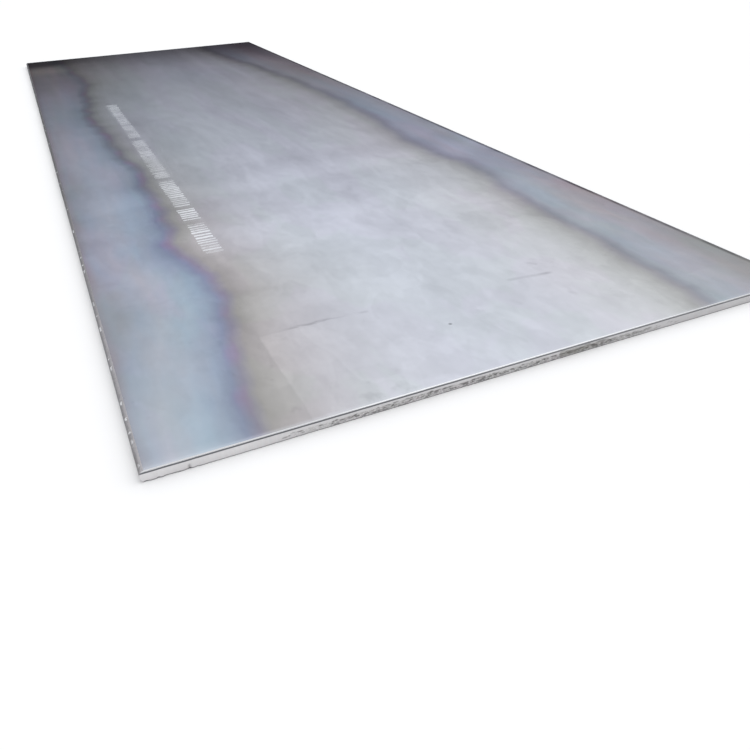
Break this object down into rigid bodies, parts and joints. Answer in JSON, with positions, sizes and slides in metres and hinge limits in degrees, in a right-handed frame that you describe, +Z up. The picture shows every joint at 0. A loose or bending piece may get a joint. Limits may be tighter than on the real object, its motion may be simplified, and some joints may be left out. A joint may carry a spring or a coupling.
{
  "type": "steel plate",
  "caption": "Flat hot-rolled steel plate with rounded mill edges, sheared ends and blue heat tint along both edges.",
  "frame": {"origin": "centre of the underside, where the plate lies on a level floor", "axes": "+X across the plate's width, +Y along its length (the rolling direction), away from the near sheared end, +Z up out of the top face"},
  "size_m": [2, 6, 0.03],
  "materials": {
    "hot_rolled_steel": "satin mill finish with a thin blue-grey oxide"
  },
  "bodies": {
    "root": {"plate": "hot_rolled_steel"}
  },
  "joints": []
}
